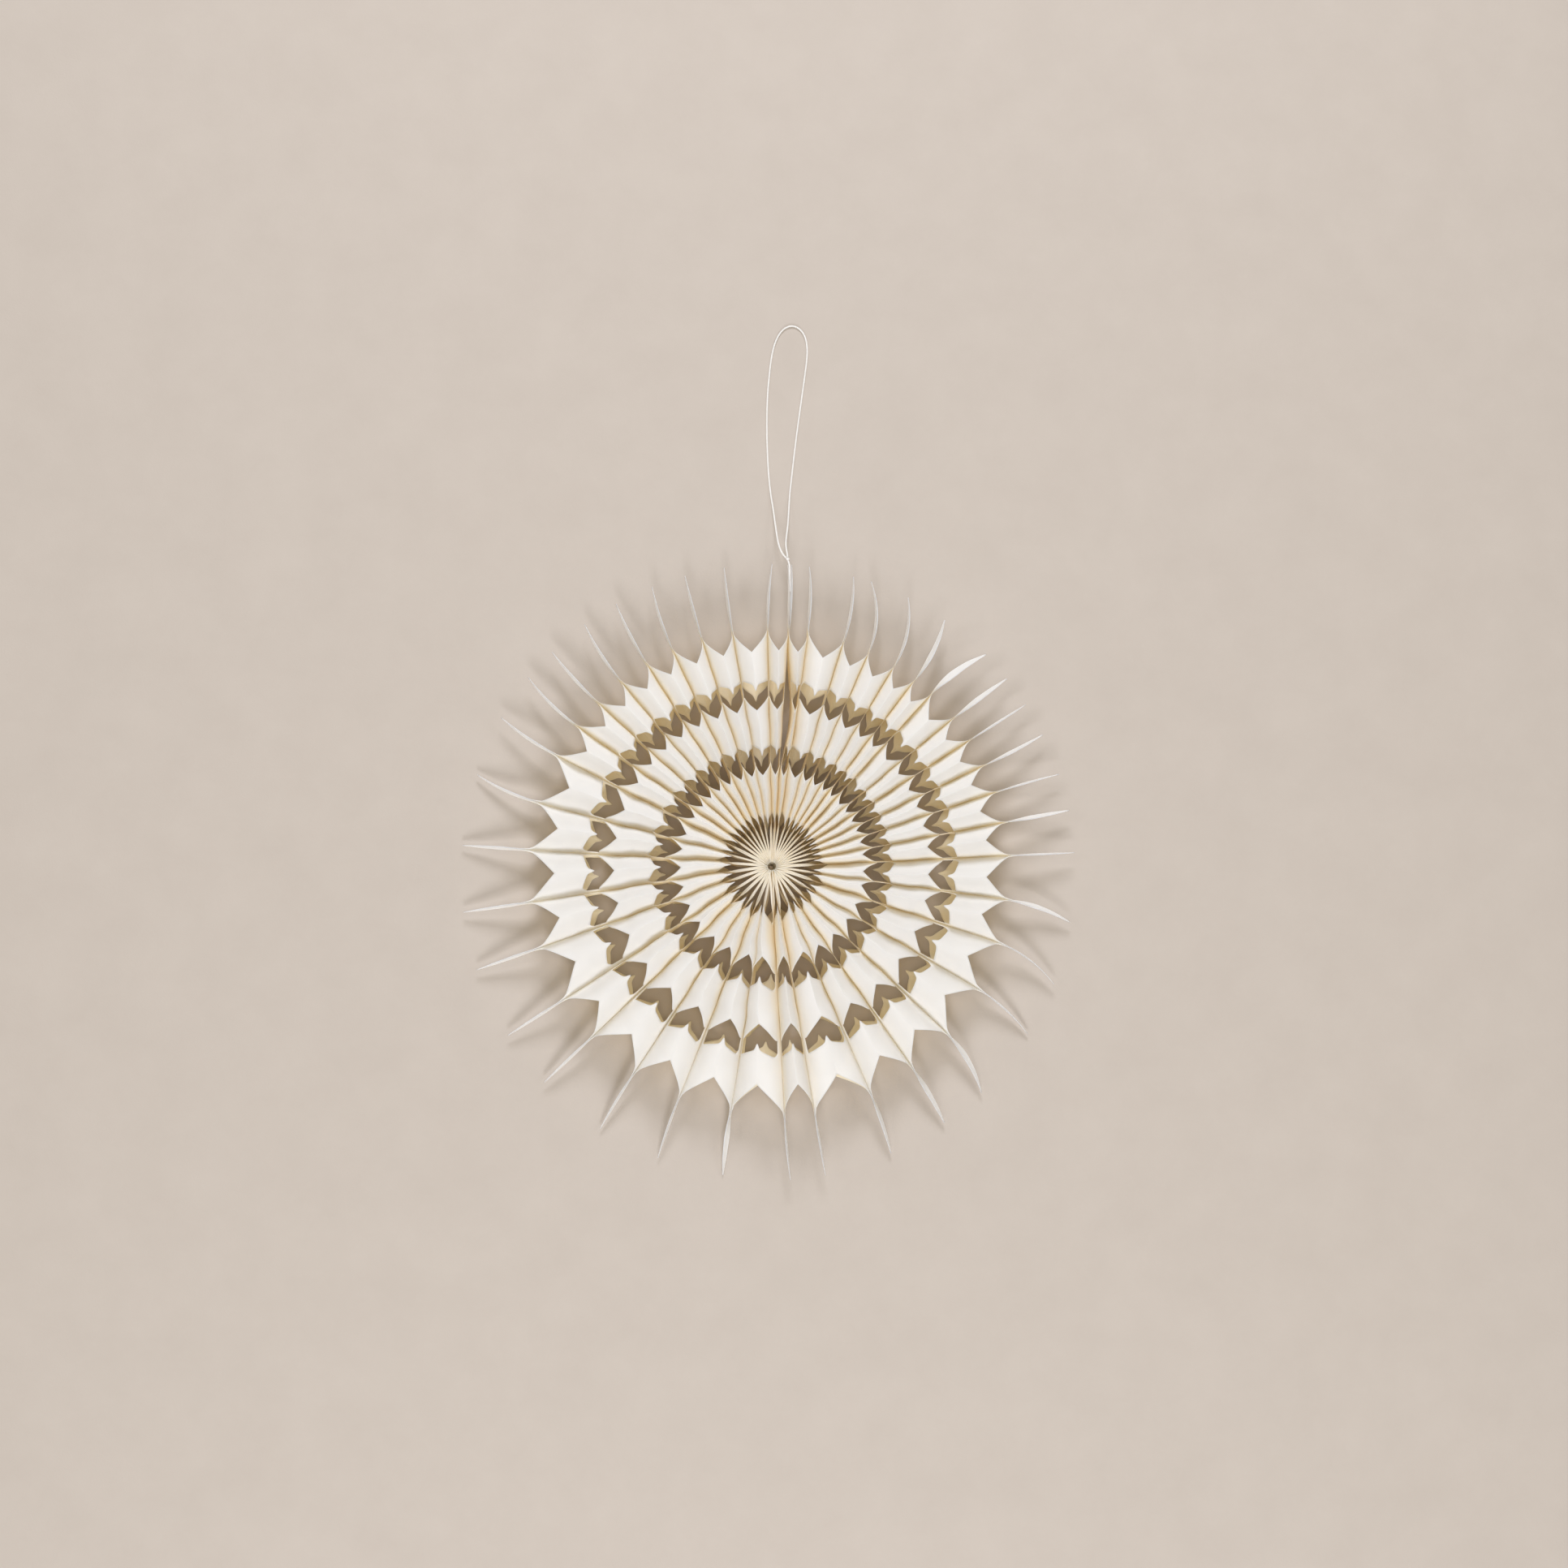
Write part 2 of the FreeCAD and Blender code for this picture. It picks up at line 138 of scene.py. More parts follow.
class Seam:
    """The sheet where two neighbouring bags are glued together, or a free side at the join."""

    def __init__(self, index):
        total = sum(BAG_OPENINGS)
        angle = 2 * math.pi * sum(BAG_OPENINGS[:index]) / total
        even_angle = 2 * math.pi * (index + 0.5) / (BAG_COUNT + 1)
        hub_angle = angle + HUB_EVENNESS * (even_angle - angle)
        rim_heights = []
        for opening in BAG_OPENINGS[max(index - 1, 0):index + 1]:
            half_mouth = RIM.point * math.tan(math.pi * opening / total)
            rim_heights.append(GLUE_HALF_WIDTH + math.sqrt(SOLID_PANEL ** 2 - half_mouth ** 2))
        drop = (HUB_HEIGHT - max(rim_heights)) / RIM.point
        level = math.sqrt(1 - drop * drop)
        outward = np.array([math.sin(angle), math.cos(angle), 0.0])
        vertical = np.array([0.0, 0.0, 1.0])
        self.along = outward * level - vertical * drop
        self.up = outward * drop + vertical * level
        self.across = np.cross(self.along, self.up)
        self.hub = np.array([math.sin(hub_angle), math.cos(hub_angle), -drop]) * HUB_RADIUS
        self.shift = {0: JOIN_HALF_GAP, BAG_COUNT: -JOIN_HALF_GAP}.get(index, 0.0)
        self.bow = BOW_DEPTH if index == 0 else 0.0
        self.lean = math.radians(SPIKE_LEANS[index])
        self.twist = math.radians(WIDE_TWISTS.get(index, SPIKE_TWIST))

    def middle(self, a):
        """Points on the middle line at the distances a."""
        side = self.shift * smoothstep((a - HUB_RADIUS) / LEAD_IN)
        bowing = np.clip((a - BOW_START) / (BOW_END - BOW_START), 0, 1)
        side = side + self.bow * np.sin(math.pi * bowing) ** 2
        bend = np.clip((a - RIM.end) / (SPIKE_TIP - RIM.end), 0, 1)
        side = side + a * math.tan(self.lean) * bend ** 2
        straight = a[:, None] * self.along + side[:, None] * self.across
        share = np.clip((a - HUB_RADIUS) / (LEAD_IN - HUB_RADIUS), 0, 1)[:, None]
        led = self.hub + (LEAD_IN * self.along + side[:, None] * self.across - self.hub) * share
        return HUB + np.where(share < 1, led, straight)

    def rise(self, a):
        """Directions across the sheet, upwards, turned by the twist of the spike."""
        turn = (self.twist * smoothstep((a - RIM.end) / TWIST_LENGTH))[:, None]
        return np.cos(turn) * self.up + np.sin(turn) * self.across


class Mouth:
    """Space between a bag's two seams at the distances a: half its width, and its directions."""

    def __init__(self, first, last, a):
        gap = last.middle(a) - first.middle(a)
        self.half_gap = np.linalg.norm(gap, axis=1) / 2
        self.across = gap / (2 * self.half_gap[:, None])
        up = unit(first.up + last.up)
        up = up - self.across * (self.across @ up)[:, None]
        self.up = up / np.linalg.norm(up, axis=1)[:, None]
        self.along = unit(first.along + last.along)


# A panel is one wall of a bag from its glue line to its side fold. Its cross-section is nearly straight
# by the glue line and bends most by the fold: its direction turns with this power of the distance.
BEND_POWER = 1.4
STEPS = (np.arange(24) + 0.5) / 24  # middles of the steps in which a panel's path is added up
STEEPEST = 89.5              # steepest direction in which a bent panel leaves the glue line
# A bent panel starts steeper than a straight one by EXTRA_STEEPNESS, in radians, times the gap to this
# power, times what the gap leaves of the panel's length.
EXTRA_STEEPNESS = 0.38
STEEPNESS_POWER = 0.6


def bent_path(share, turn):
    """Complex place, in panel lengths, of points at the given shares of a panel that starts level."""
    path = np.exp(-1j * turn[..., None] * (share[..., None] * STEPS) ** BEND_POWER)
    return share * path.mean(-1)


# Turns of a panel's direction from its glue line to its fold, in radians, and where each turn ends
TURNS = np.linspace(0.0, 2.8, 281)
FULL_PATHS = bent_path(np.ones_like(TURNS), TURNS)


def crest_table():
    """Half-gaps between two seams, and the crest's height over them, both in panel lengths."""
    gaps = np.linspace(0.0, 0.95, 191)
    crests = []
    for gap in gaps:
        straight = math.acos(gap)
        steeper = EXTRA_STEEPNESS * gap ** STEEPNESS_POWER * (1 - gap)
        first = max(min(straight + steeper, math.radians(STEEPEST)), straight)
        ends = FULL_PATHS * np.exp(1j * first)
        turn = np.interp(gap, np.maximum.accumulate(ends.real), TURNS)
        crests.append(np.interp(turn, TURNS, ends.imag))
    return gaps, np.array(crests)


GAPS, CRESTS = crest_table()
CREST_ROOM = 0.07            # how far wide bags stay below the straight folds of the construction
FULL_SLACK_GAP = 0.3         # half-gap, in panel lengths, from which a bag sags by its whole slack


def crest_height(half_gap, height):
    """Height of a bag's side fold over its glue lines; height is the share left by its slack."""
    gap_share = half_gap / REACH
    solid_crest = GLUE_HALF_WIDTH - GLUE_LINE + np.sqrt(SOLID_PANEL ** 2 - half_gap ** 2)
    crest = np.minimum(REACH * np.interp(gap_share, GAPS, CRESTS),
                       solid_crest * (1 - CREST_ROOM * gap_share))
    return crest * (1 - (1 - height) * np.minimum(gap_share / FULL_SLACK_GAP, 1.0))


def panel(s, span, crest):
    """Place across and up, from the glue line, of points at the distances s along a bent panel.

    The paper stands up from the glue line, bends over and ends at the crest, which lies span away
    and crest high.
    """
    chord = np.hypot(span, crest) / REACH
    turn = np.interp(-chord, -np.abs(FULL_PATHS), TURNS)
    sag = np.interp(turn, TURNS, -np.angle(FULL_PATHS))
    first = np.arctan2(crest, span) + sag
    place = REACH * bent_path(s / REACH, turn) * np.exp(1j * first)
    return place.real, place.imag


# The lean of a crease, in lengths of that crease: how far before it the lean starts, over how much it
# rises, and over how much it falls again at the crease's end
LEAN_EARLY = 0.35
LEAN_RISE = 0.3
LEAN_FALL = 0.35
TAUT = 0.999                 # share of its reach to which a leaning panel may be stretched


def crease_lean(a):
    """How far the crease stands clockwise of the middle of its bag, as a share of the half-gap."""
    lean = np.zeros_like(a)
    for band in BANDS:
        t = (a - band.notch) / (band.point - band.notch)
        inside = smoothstep((t + LEAN_EARLY) / LEAN_RISE) * smoothstep((1.0 - t) / LEAN_FALL)
        lean += band.lean * inside
    return lean


# Near the hub a bag's strips bend together at their edges, its lips, and close over it. LIP_SPREAD says
# how near to the middle of the bag the lips come: (distance along, share of the half-gap).
LIP_SPREAD = ((HUB_RADIUS, 0.97), (7.0, 0.93), (11.0, 0.62), (16.0, 0.42), (24.0, 0.3))
LIP_END = 30.0
LIP_FADE = 8.0
LIP_START = 0.84             # where a lip starts, as a share of the strip's half-width
LIP_WIDTH = 0.16
LIP_DROP = 0.4               # how far a lip bends down, as a share of the half-gap
EDGE_MARGIN = 0.01           # for points that lie on the very edge of the strip
BACK_SLIP = 3.0              # how far the paper of the lower half slides outwards at its folds

# By the hub a valley between two bags is as deep as their strips are high. Past DEEPENING_START it
# deepens to the bags' crests.
DEEPENING_START = 20.0
DEEPENING = 8.0
LEAST_HALF_GAP = 0.8         # narrower valleys count as this wide
HUB_OPENNESS = 0.65          # share of the openness that is left by the hub, where the painted valley light grows stronger


def openness_of(a, half_gap, rise, crest):
    """How open a point lies, from 0 deep in a narrow valley between two bags to 1 on a crest; the outer
    paper's painted valley light follows it.
    """
    top = CORE + (crest - CORE) * smoothstep((a - DEEPENING_START) / DEEPENING)
    depth = np.maximum(top - rise, 0.0)
    openness = 1 - np.arctan2(depth, np.maximum(half_gap, LEAST_HALF_GAP)) * 2 / math.pi
    return openness * (HUB_OPENNESS + (1 - HUB_OPENNESS) * smoothstep(a / MIDDLE.start))


def bag_points(first, last, sheet, u, a, style):
    """Places of a bag's points, how open each lies, and how much of a spike it is, both from 0 to 1.

    Sheet 0 hangs on the first seam and 1 on the last one. u is the signed distance across the paper
    from the middle line, and a the distance along it. Past the rim's notches the two seams no longer
    hold each other, so there the bag's section stays as it is at the notches.
    """
    ref = np.minimum(a, RIM.point)
    mouth = Mouth(first, last, ref)
    half_gap = mouth.half_gap
    side = np.sign(u)
    crest = crest_height(half_gap, style["height"])
    room = np.sqrt(np.maximum((TAUT * REACH) ** 2 - crest ** 2, half_gap ** 2)) - half_gap
    lean = side * np.minimum(crease_lean(ref) * half_gap * style["lean"], room)

    s = np.maximum(np.abs(u) - GLUE_LINE, 0.0)
    over, rise = panel(s, half_gap + np.where(sheet == 0, lean, -lean), crest)
    width = bridge_width(a)
    by_hub = smoothstep((LIP_END - a) / LIP_FADE) * (np.abs(u) < width + EDGE_MARGIN)
    lip = smoothstep((np.abs(u) / width - LIP_START) / LIP_WIDTH) * by_hub
    over = over + (half_gap * outline_at(a, LIP_SPREAD) - over) * lip
    rise = rise - LIP_DROP * half_gap * lip
    spike = smoothstep((a - RIM.end) / SPIKE_FOOT)
    flare = math.radians(SPIKE_FLARE)
    over = over + (s * math.sin(flare) - over) * spike
    rise = rise + (s * math.cos(flare) - rise) * spike

    on_first = (sheet == 0)[:, None]
    own_middle = np.where(on_first, first.middle(a), last.middle(a))
    own_rise = np.where(on_first, first.rise(a), last.rise(a))
    own_across = np.where(on_first, first.across, -last.across)
    inward = np.where(on_first, mouth.across, -mouth.across)
    turned_up = np.where((spike > 0)[:, None], own_rise, mouth.up)
    turned_in = np.where((spike > 0)[:, None], own_across, inward)
    flat = np.clip(u, -GLUE_LINE, GLUE_LINE)
    forward = half_gap ** 2 / np.maximum(ref, 1.0) * s / REACH
    forward = forward + np.where(side < 0, BACK_SLIP, 0.0) * s / REACH
    places = (own_middle + own_rise * flat[:, None] + turned_in * over[:, None]
              + turned_up * (side * rise)[:, None] + mouth.along * forward[:, None])

    openness = openness_of(a, half_gap, rise, crest)
    return places, openness + (1 - openness) * spike, spike


# ---------------------------------------------------------------- outlines of the cuts

# Places on the way from the bridge (0) to the side fold (1) are shares of that way.
ROUND_PEAK = 0.22            # the lobe's top on a bag's first sheet
SHARP_PEAK = 0.03            # the same on its last sheet, whose edge starts a little nearer the hub
SHARP_START = 1.0
LOBE_FULLNESS = 0.7          # power of the sine that the lobe's rise follows; lower is rounder
LOBE_BEND = 0.2              # how much the way down from the lobe bends
RIM_BEND = 0.07              # how much the rim's edge bends
# How far down the finger its edge has come: (share of the way, share of the finger's length)
FINGER_OUTLINE = ((0.79, 0.0), (0.86, 0.08), (0.905, 0.26), (0.925, 0.45), (0.96, 0.82), (1.0, 1.0))
POINT_DIP = 1.8              # the outer edge dips beside the bridge, mostly within this share
POINT_DIP_SHARE = 0.08


def lobe_line(share, band, rounded):
    """Inner edge of a band, from the bridge over the lobe to the finger at the fold."""
    peak = ROUND_PEAK if rounded else SHARP_PEAK
    low = band.start - (0.0 if rounded else SHARP_START)
    rising = np.sin(np.clip(share / peak, 0, 1) * math.pi / 2) ** LOBE_FULLNESS
    t = np.clip((share - peak) / (1 - peak), 0, 1)
    falling = (band.lobe - band.notch - FINGER) * ((1 - LOBE_BEND) * t + LOBE_BEND * t * t)
    finger = FINGER * outline_at(share, FINGER_OUTLINE)
    return np.where(share < peak, low + (band.lobe - low) * rising, band.lobe - falling - finger)


def point_line(share, band):
    """Outer edge of a band inside the rim, from the bridge to the point at the fold."""
    slanted = band.end + (band.point - band.end) * share
    return slanted - POINT_DIP * np.exp(-share / POINT_DIP_SHARE) * (1 - share)


def rim_line(share):
    """Outer edge of the rim, from the spike's foot to the notch at the fold."""
    return RIM.end + (RIM.point - RIM.end) * ((1 - RIM_BEND) * share + RIM_BEND * share ** 2)


def bridge_width(a):
    """Half-width at the distances a of the strip that runs along the middle line."""
    return outline_at(a, STRIP_OUTLINE)


# ---------------------------------------------------------------- mesh of a bag

# Columns of points across a bag: as shares of the way from the bridge to the fold, and, with a sign,
# of the bridge's half-width
SHARES = np.array([0, .03, .07, .12, .18, .26, .36, .47, .58, .69, .79, .86, .905, .925, .96, 1.0])
COLUMNS = np.array([-1, -.94, -.85, -.62, -.4, -.19, .19, .4, .62, .85, .94, 1.0])
# Rows of points along each stretch of a bag, both ends counted
HUB_ROWS = 4
CORE_ROWS = 9
BAND_ROWS = 17
HEART_ROWS = 5
SPIKE_ROWS = 22


class BagLayout:
    """Points and faces of one bag's outer surface, the same for every bag.

    Each point has a sheet, a distance u across the paper and a distance a along it, as bag_points
    takes them. The two sheets share the points along the side folds, which folds finds by side, band
    and row. creases holds the pairs of points that are the edges there.
    """

    def __init__(self):
        self.points = []
        self.faces = []
        self.creases = []
        self.folds = {}
        for sheet in (0, 1):
            self.add_sheet(sheet)
        sheets, u, a = zip(*self.points)
        self.sheets, self.u, self.a = np.array(sheets), np.array(u), np.array(a)

    def add_point(self, sheet, u, a):
        """Add a point; returns its number."""
        self.points.append((sheet, u, a))
        return len(self.points) - 1

    def add_faces(self, grid, flip):
        """Join neighbouring lines of points by four-sided faces."""
        for lower, upper in zip(grid, grid[1:]):
            for i in range(len(lower) - 1):
                face = [lower[i], lower[i + 1], upper[i + 1], upper[i]]
                self.faces.append(face if flip else face[::-1])

    def add_sheet(self, sheet):
        """Add the strip along one seam, and the bands that reach from it to both side folds."""
        edges = []
        for band in BANDS:
            outer = rim_line(SHARES) if band is RIM else point_line(SHARES, band)
            edges.append((lobe_line(SHARES, band, sheet == 0), outer))
        rows, marks = strip_rows(edges)
        grid = [[self.add_point(sheet, c * float(bridge_width(a)), a) for c in COLUMNS] for a in rows]
        self.add_faces(grid, sheet == 0)
        for side, column in ((1, -1), (-1, 0)):
            for number, mark in enumerate(marks):
                roots = [line[column] for line in grid[mark:mark + BAND_ROWS]]
                self.add_band(sheet, side, number, edges[number], roots)

    def add_band(self, sheet, side, number, edges, roots):
        """Add a band's paper from the strip's points, the roots, to one side fold."""
        inner, outer = edges
        band = []
        for row, root in enumerate(roots):
            q = row / (BAND_ROWS - 1)
            line = [root]
            for j in range(1, len(SHARES)):
                fold = j == len(SHARES) - 1
                if fold and sheet == 1:
                    line.append(self.folds[side, number, row])
                    continue
                u = side * (BRIDGE + (FULL_REACH - BRIDGE) * SHARES[j])
                line.append(self.add_point(sheet, u, inner[j] + (outer[j] - inner[j]) * q))
            if sheet == 0:
                self.folds[side, number, row] = line[-1]
            band.append(line)
        self.add_faces(band, (sheet == 0) == (side == 1))
        self.creases += [(low[-1], high[-1]) for low, high in zip(band, band[1:])]


def strip_rows(edges):
    """Distances along of the rows of a strip, and the number of the row where each band starts."""
    starts = [inner[0] for inner, _ in edges]
    ends = [outer[0] for _, outer in edges]
    rows = list(np.linspace(HUB_RADIUS, LEAD_IN, HUB_ROWS)[:-1])
    rows += list(np.linspace(LEAD_IN, starts[0], CORE_ROWS)[:-1])
    marks = []
    for number, (start, end) in enumerate(zip(starts, ends)):
        marks.append(len(rows))
        rows += list(np.linspace(start, end, BAND_ROWS))
        if number < len(BANDS) - 1:
            rows += list(np.linspace(end, starts[number + 1], HEART_ROWS)[1:-1])
    rows += list(np.linspace(rows[-1], SPIKE_TIP, SPIKE_ROWS)[1:])
    return rows, marks


# ---------------------------------------------------------------- materials

PAPER_WHITE = (0.865, 0.875, 0.89)
PAPER_WHITE_LIGHT = (0.885, 0.895, 0.91)
PAPER_SPIKE = (0.98, 0.96, 0.92)
PAPER_VALLEY_PAINTED_BOUNCE = (0.995, 0.93, 0.76)  # painted warm bounce light on the paper down in the valleys between the bags, lighter than the open white
# painted warm shade of the light that bounces inside the bags, on the inner faces of the same white
# paper
LINING_PAINTED_SHADE = (0.995, 0.925, 0.74)
LINING_PAINTED_SHADE_PALE = (1.0, 0.935, 0.76)
PAPER_GLOW = (1.0, 1.0, 1.0)        # colour of the light that comes through the outer faces
PAPER_GLOW_SHARE = 0.36
FULLY_OPEN = 0.6                    # openness from which the paper has its own white, with no painted valley light
COTTON = (0.80, 0.77, 0.71)
COTTON_LIGHT = (0.90, 0.88, 0.84)
FLOOR = (0.518, 0.453, 0.386)
FLOOR_LIGHT = (0.542, 0.476, 0.407)


class Surface:
    """A node material in the making, with textures in the object's own coordinates."""

    def __init__(self, name, roughness):
        self.material = bpy.data.materials.new(name)
        self.material.use_nodes = True
        self.nodes = self.material.node_tree.nodes
        self.links = self.material.node_tree.links
        self.place = self.nodes.new("ShaderNodeTexCoord").outputs["Object"]
        self.shader = self.nodes["Principled BSDF"]
        self.set_value("Roughness", roughness)

    def set_value(self, socket, value):
        """Set a plain number on the main shader."""
        self.shader.inputs[socket].default_value = value

    def link(self, output, socket):
        """Link an output to a socket of the main shader."""
        self.links.new(output, self.shader.inputs[socket])

    def noise(self, scale, detail, roughness=0.5):
        """Noise texture; scale is in waves a metre."""
        node = self.nodes.new("ShaderNodeTexNoise")
        node.inputs["Scale"].default_value = scale
        node.inputs["Detail"].default_value = detail
        node.inputs["Roughness"].default_value = roughness
        self.links.new(self.place, node.inputs["Vector"])
        return node.outputs["Fac"]

    def attribute(self, name):
        """Number that each point of the mesh holds."""
        node = self.nodes.new("ShaderNodeAttribute")
        node.attribute_name = name
        return node.outputs["Fac"]

    def tones(self, value, dark, light):
        """Colour that drifts between two tones with a noise."""
        node = self.nodes.new("ShaderNodeValToRGB")
        for element, position, colour in zip(node.color_ramp.elements, (0.3, 0.7), (dark, light)):
            element.position = position
            element.color = (*colour, 1.0)
        self.links.new(value, node.inputs["Fac"])
        return node.outputs["Color"]

    def mixed(self, share, first, second):
        """Colour between two; each is a fixed colour or another node's output."""
        node = self.nodes.new("ShaderNodeMix")
        node.data_type = "RGBA"
        self.links.new(share, node.inputs["Factor"])
        for name, colour in (("A", first), ("B", second)):
            socket = next(item for item in node.inputs if item.name == name and item.type == "RGBA")
            if isinstance(colour, tuple):
                socket.default_value = (*colour, 1.0)
            else:
                self.links.new(colour, socket)
        return next(item for item in node.outputs if item.type == "RGBA")

    def bump(self, height, distance, strength, below=None):
        """Bump whose height is a distance in metres, on top of another one."""
        node = self.nodes.new("ShaderNodeBump")
        node.inputs["Strength"].default_value = strength
        node.inputs["Distance"].default_value = distance
        self.links.new(height, node.inputs["Height"])
        if below is not None:
            self.links.new(below, node.inputs["Normal"])
        return node.outputs["Normal"]

    def let_light_through(self, share, colour, normal):
        """Let a share of the light come through the surface in a colour."""
        glow = self.nodes.new("ShaderNodeBsdfTranslucent")
        self.links.new(colour, glow.inputs["Color"])
        self.links.new(normal, glow.inputs["Normal"])
        both = self.nodes.new("ShaderNodeMixShader")
        both.inputs["Fac"].default_value = share
        self.links.new(self.shader.outputs["BSDF"], both.inputs[1])
        self.links.new(glow.outputs["BSDF"], both.inputs[2])
        self.links.new(both.outputs["Shader"], self.nodes["Material Output"].inputs["Surface"])


def paper_material(name, inner):
    """Uncoated white bag paper: faint cloudiness, fine fibres, a slight cockle, and light through it.

    The outer faces are white, with painted warm bounce light, a little lighter than the white, where
    they lie deep in the valleys between the bags.
    The inner faces are painted all over in the warm shade of light that bounces inside the bags, apart
    from the spikes, which are open to the light.
    """
    surface = Surface(name, roughness=0.85)
    cloud = surface.noise(scale=60.0, detail=5.0, roughness=0.6)
    if inner:
        warm = surface.tones(cloud, LINING_PAINTED_SHADE, LINING_PAINTED_SHADE_PALE)
        # The spikes lose the painted warm shade of the lining, since they are open to the light.
        colour = surface.mixed(surface.attribute("spike"), warm, PAPER_SPIKE)
        glow_colour = colour
    else:
        white = surface.tones(cloud, PAPER_WHITE, PAPER_WHITE_LIGHT)
        spread = surface.nodes.new("ShaderNodeMapRange")
        spread.inputs["From Max"].default_value = FULLY_OPEN
        surface.links.new(surface.attribute("openness"), spread.inputs["Value"])
        # Deep in the valleys, both the paper's colour and the colour of the light through it are the
        # painted warm bounce light.
        colour = surface.mixed(spread.outputs["Result"], PAPER_VALLEY_PAINTED_BOUNCE, white)
        glow_colour = surface.mixed(spread.outputs["Result"], PAPER_VALLEY_PAINTED_BOUNCE, PAPER_GLOW)
    surface.link(colour, "Base Color")
    surface.set_value("Specular IOR Level", 0.25)
    waves = surface.noise(scale=90.0, detail=2.0)
    cockle = surface.bump(waves, distance=0.0004, strength=0.35)
    fibres = surface.noise(scale=2500.0, detail=3.0, roughness=0.7)
    relief = surface.bump(fibres, distance=0.00003, strength=0.5, below=cockle)
    surface.link(relief, "Normal")
    surface.let_light_through(PAPER_GLOW_SHARE, glow_colour, relief)
    return surface.material


def cotton_material():
    """Off-white cotton string with fibres along its strands."""
    surface = Surface("white_cotton_string", roughness=0.95)
    cloud = surface.noise(scale=900.0, detail=4.0, roughness=0.6)
    surface.link(surface.tones(cloud, COTTON, COTTON_LIGHT), "Base Color")
    surface.set_value("Sheen Weight", 0.3)
    fibres = surface.noise(scale=5000.0, detail=3.0, roughness=0.7)
    surface.link(surface.bump(fibres, distance=0.00005, strength=0.6), "Normal")
    return surface.material


def floor_material():
    """Plain pale surface with a faint mottle."""
    surface = Surface("pale_floor", roughness=0.9)
    mottle = surface.noise(scale=25.0, detail=8.0, roughness=0.65)
    surface.link(surface.tones(mottle, FLOOR, FLOOR_LIGHT), "Base Color")
    surface.set_value("Specular IOR Level", 0.2)
    grain = surface.noise(scale=700.0, detail=4.0, roughness=0.6)
    surface.link(surface.bump(grain, distance=0.0002, strength=0.4), "Normal")
    return surface.material


# ---------------------------------------------------------------- bags

# Small differences between the bags, drawn at random: the share of its height that a bag's slack
# leaves it, and how strongly its creases lean
HEIGHT_SHARES = (0.975, 0.99)
LEAN_SHARES = (0.8, 1.2)


def smooth_mesh(name, vertices, faces):
    """Mesh with smooth shading, from vertices in metres."""
    mesh = bpy.data.meshes.new(name)
    mesh.from_pydata(vertices, [], faces)
    mesh.polygons.foreach_set("use_smooth", [True] * len(faces))
    return mesh


def add_object(name, data, material):
    """New object in the scene with one material."""
    piece = bpy.data.objects.new(name, data)
    bpy.context.scene.collection.objects.link(piece)
    data.materials.append(material)
    return piece


def mark_creases(mesh, creases):
    """Sharp edges along the side folds."""
    wanted = {tuple(sorted(pair)) for pair in creases}
    sharp = [tuple(sorted(edge.vertices)) in wanted for edge in mesh.edges]
    attribute = mesh.attributes.new("sharp_edge", "BOOLEAN", "EDGE")
    attribute.data.foreach_set("value", sharp)


def make_bag(number, first, last, layout, outer_paper, inner_paper):
    """One opened paper bag between two seams."""
    style = {
        "height": float(rng.uniform(*HEIGHT_SHARES)),
        "lean": float(rng.uniform(*LEAN_SHARES)),
    }
    points, openness, spike = bag_points(first, last, layout.sheets, layout.u, layout.a, style)
    mesh = smooth_mesh("paper_bag_%02d_mesh" % number, (points * MM).tolist(), layout.faces)
    mark_creases(mesh, layout.creases)
    # openness and spike say where the paper's painted valley light and the lining's painted shade go
    mesh.attributes.new("openness", "FLOAT", "POINT").data.foreach_set("value", openness)
    mesh.attributes.new("spike", "FLOAT", "POINT").data.foreach_set("value", spike)
    piece = add_object("folded_bag_%02d" % number, mesh, outer_paper)
    mesh.materials.append(inner_paper)
    walls = piece.modifiers.new("paper", "SOLIDIFY")
    walls.thickness = PAPER * MM
    walls.offset = -1.0
    walls.use_even_offset = False
    walls.material_offset = 1
    return piece


outer_paper = paper_material("white_bag_paper_painted_valley_light", inner=False)
inner_paper = paper_material("bag_lining_painted_warm_shade", inner=True)
seams = [Seam(index) for index in range(BAG_COUNT + 1)]
layout = BagLayout()
for number in range(1, BAG_COUNT + 1):
    bag = make_bag(number, seams[number - 1], seams[number], layout, outer_paper, inner_paper)
    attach(bag, "root")
    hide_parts("paper_bag_%02d" % number)


# ---------------------------------------------------------------- string

